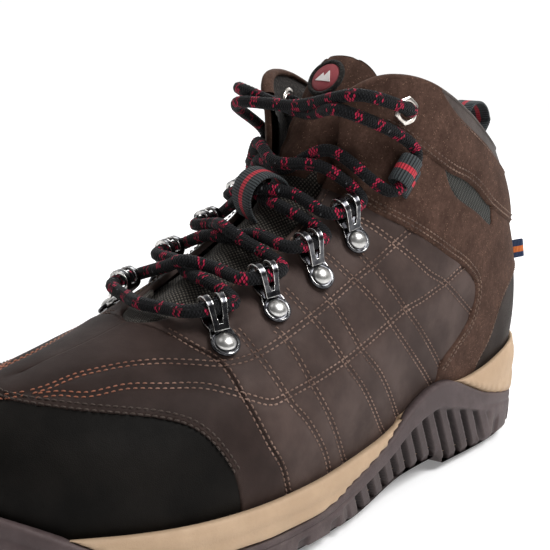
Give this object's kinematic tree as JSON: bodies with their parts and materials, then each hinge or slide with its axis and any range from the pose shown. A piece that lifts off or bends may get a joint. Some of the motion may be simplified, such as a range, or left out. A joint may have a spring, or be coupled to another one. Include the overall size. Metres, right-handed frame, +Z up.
{
  "type": "hiking boot",
  "caption": "Left mid-height lace-up hiking boot: quilted leather upper, padded collar, tongue, hooks and eyelets with a round lace, pull loop and lugged rubber sole.",
  "frame": {"origin": "on the ground under the middle of the box round the boot", "axes": "+X outer (lateral) side of this left boot, +Y towards the heel (the toe points along -Y), +Z up"},
  "size_m": [0.1176, 0.3046, 0.176],
  "materials": {
    "toe_leather": "smooth, lightly grained",
    "nubuck": "brushed nubuck",
    "suede": "napped suede",
    "mesh_fabric": "coarse woven",
    "trim_fabric": "knitted",
    "lining_fabric": "soft brushed knit",
    "stiffener": "moulded",
    "foam": "open-cell foam",
    "sole_rubber": "moulded, matt",
    "midsole_foam": "moulded foam",
    "steel": "brushed",
    "board": "pressed fibre board",
    "footbed_cover": "woven cover",
    "webbing": "ribbed webbing",
    "gunmetal": "gunmetal plated",
    "silver": "satin",
    "lace_braid": "round braid",
    "badge_print": "printed",
    "tag_fabric": "woven",
    "aglet_film": "glossy film"
  },
  "bodies": {
    "boot": {"toe_cap": "toe_leather", "heel_panel": "toe_leather", "vamp": "nubuck", "quarter_lateral": "nubuck", "quarter_medial": "nubuck", "ankle_suede_lateral": "suede", "ankle_suede_medial": "suede", "collar_suede_lateral": "suede", "collar_suede_medial": "suede", "mesh_window_lateral": "mesh_fabric", "mesh_window_medial": "mesh_fabric", "collar_back_trim": "trim_fabric", "throat_trim": "mesh_fabric", "lining": "lining_fabric", "toe_puff": "stiffener", "heel_counter": "stiffener", "ankle_padding": "foam", "outsole": "sole_rubber", "midsole": "midsole_foam", "shank": "steel", "insole_board": "board", "tongue_lower": "mesh_fabric", "tongue_loop": "webbing", "heel_pull_loop": "webbing", "heel_tag": "tag_fabric", "lace": "lace_braid", "lace_hook_lateral_1": "gunmetal", "hook_rivet_lateral_1": "gunmetal", "lace_hook_lateral_2": "gunmetal", "hook_rivet_lateral_2": "gunmetal", "lace_hook_lateral_3": "gunmetal", "hook_rivet_lateral_3": "gunmetal", "lace_hook_lateral_4": "gunmetal", "hook_rivet_lateral_4": "gunmetal", "eyelet_lateral": "silver", "eyelet_washer_lateral": "silver", "ankle_loop_lateral": "webbing", "aglet_lateral": "aglet_film", "lace_hook_medial_1": "gunmetal", "hook_rivet_medial_1": "gunmetal", "lace_hook_medial_2": "gunmetal", "hook_rivet_medial_2": "gunmetal", "lace_hook_medial_3": "gunmetal", "hook_rivet_medial_3": "gunmetal", "lace_hook_medial_4": "gunmetal", "hook_rivet_medial_4": "gunmetal", "eyelet_medial": "silver", "eyelet_washer_medial": "silver", "ankle_loop_medial": "webbing", "aglet_medial": "aglet_film"},
    "tongue_top": {"tongue_top": "suede", "badge_ring": "trim_fabric", "badge_disc": "badge_print"},
    "footbed": {"footbed": "footbed_cover"}
  },
  "joints": [
    {"name": "tongue_tip", "type": "hinge", "parent": "boot", "child": "tongue_top", "pos_m": [0, 0.029, 0.1365], "axis": [1, 0, 0], "range_deg": [-18, 2], "stiffness_Nm_per_rad": 0.3},
    {"name": "footbed_lift", "type": "hinge", "parent": "boot", "child": "footbed", "pos_m": [0, -0.1415, 0.019], "axis": [1, 0, 0], "range_deg": [0, 7]}
  ]
}
